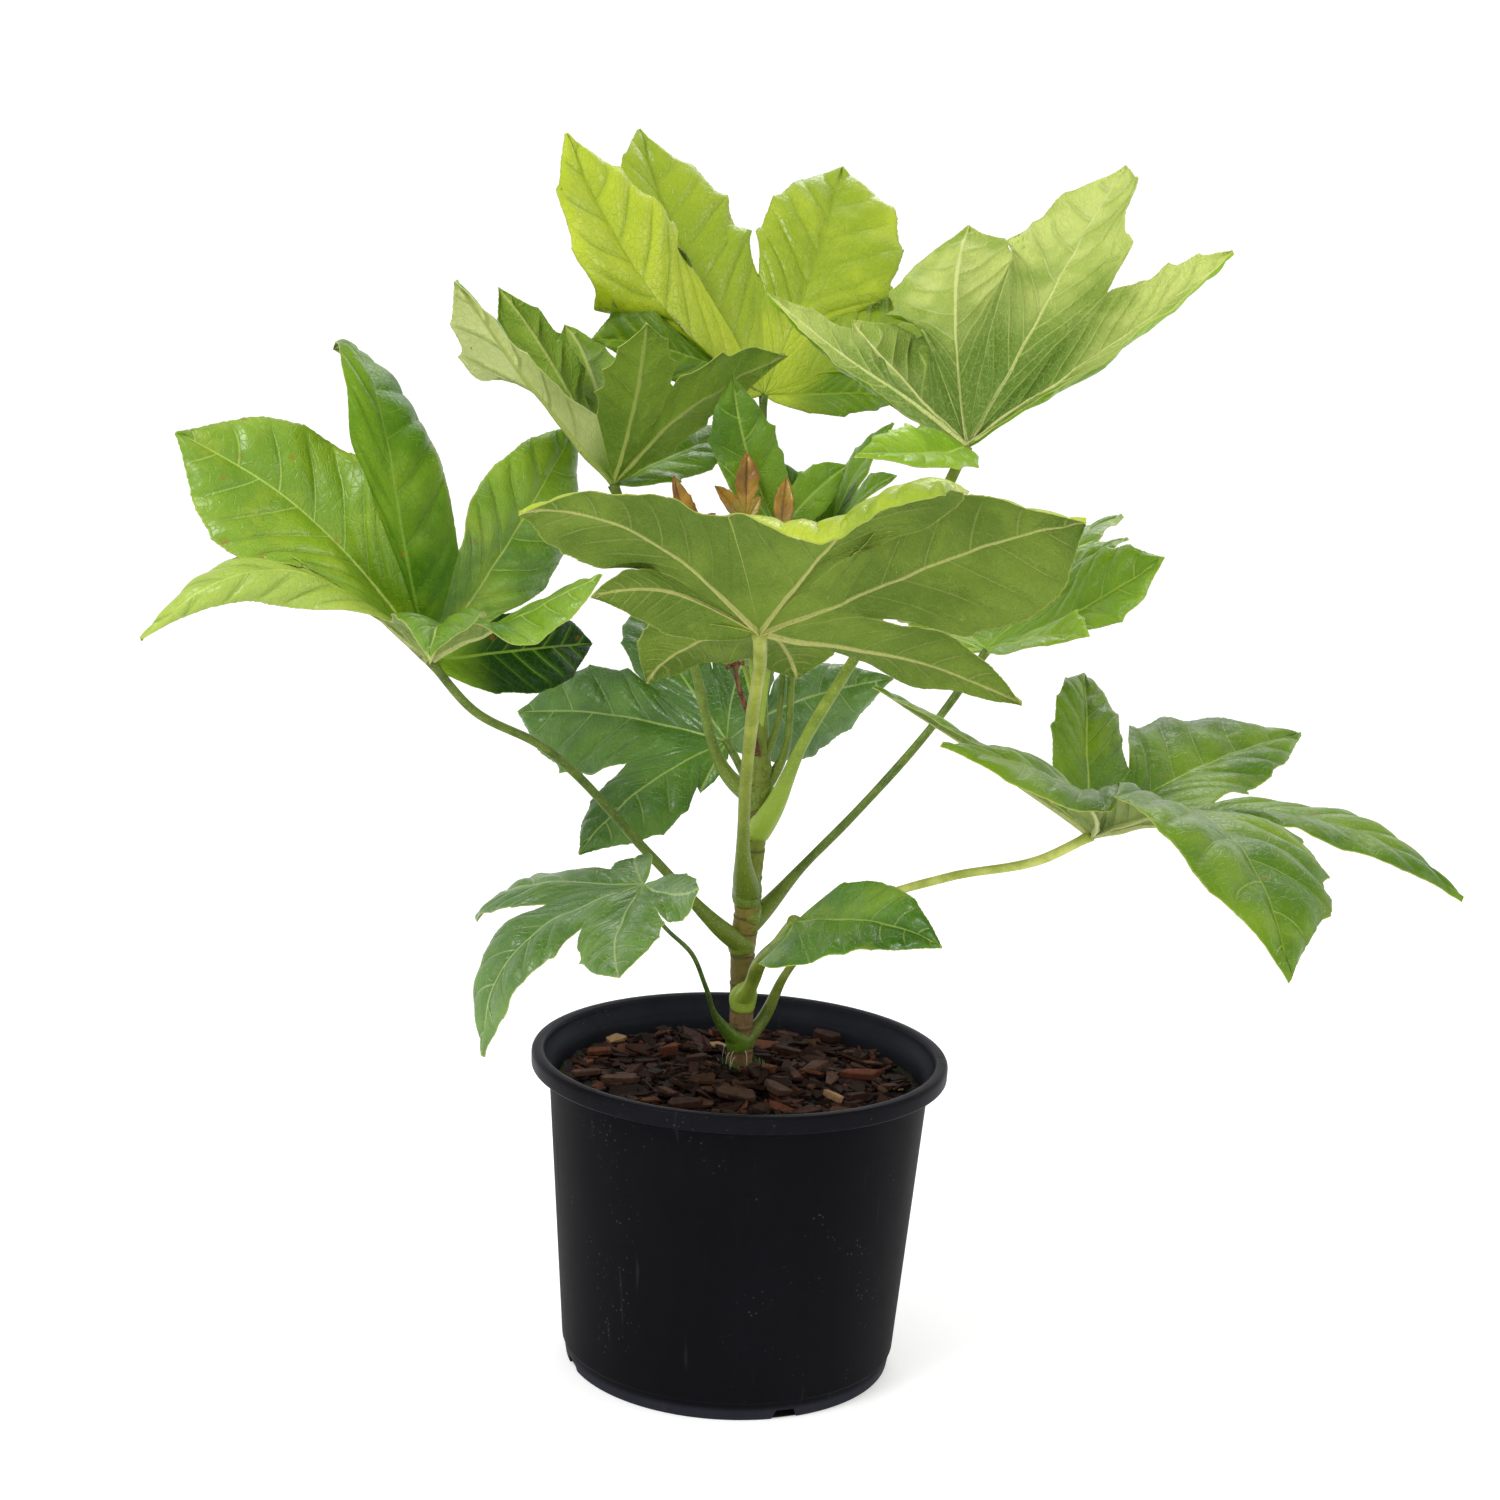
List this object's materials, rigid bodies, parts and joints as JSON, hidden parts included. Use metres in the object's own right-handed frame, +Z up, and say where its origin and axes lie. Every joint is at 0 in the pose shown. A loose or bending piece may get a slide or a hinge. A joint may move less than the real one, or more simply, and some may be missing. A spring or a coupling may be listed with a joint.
{
  "type": "potted japanese aralia",
  "caption": "Fatsia japonica with large glossy hand-shaped leaves on long stalks from one stem, in a plain black round nursery pot filled with bark mix",
  "frame": {"origin": "middle of the pot's underside, on the ground the pot stands on", "axes": "+Z up along the pot's axis, +Y away from the side seen in the picture, +X to its right"},
  "size_m": [0.7159, 0.4905, 0.7336],
  "materials": {
    "pot": "satin",
    "bark": "rough",
    "stem": "matte",
    "stalk": "satin",
    "leaf_top": "glossy",
    "leaf_mid": "glossy",
    "leaf_pale": "satin",
    "leaf_dark": "glossy",
    "young": "satin",
    "dried": "matte"
  },
  "bodies": {
    "root": {"pot": "pot", "potting_mix": "bark", "stem": "stem", "leaf_left_blade": "leaf_mid", "leaf_left_stalk": "stalk", "leaf_top_blade": "leaf_top", "leaf_top_stalk": "stalk", "leaf_upper_left_blade": "leaf_mid", "leaf_upper_left_stalk": "stalk", "leaf_upper_right_blade": "leaf_pale", "leaf_upper_right_stalk": "stalk", "leaf_front_blade": "leaf_pale", "leaf_front_stalk": "stalk", "leaf_right_blade": "leaf_mid", "leaf_right_stalk": "stalk", "leaf_far_right_blade": "leaf_dark", "leaf_far_right_stalk": "stalk", "leaf_back_blade": "leaf_dark", "leaf_back_stalk": "stalk", "leaf_low_left_blade": "leaf_dark", "leaf_low_left_stalk": "stalk", "leaf_low_right_blade": "leaf_dark", "leaf_low_right_stalk": "stalk", "leaf_centre_right_blade": "leaf_mid", "leaf_centre_right_stalk": "stalk", "leaf_centre_back_blade": "leaf_mid", "leaf_centre_back_stalk": "stalk", "young_leaves": "young", "dried_flower_stalk": "dried"}
  },
  "joints": []
}
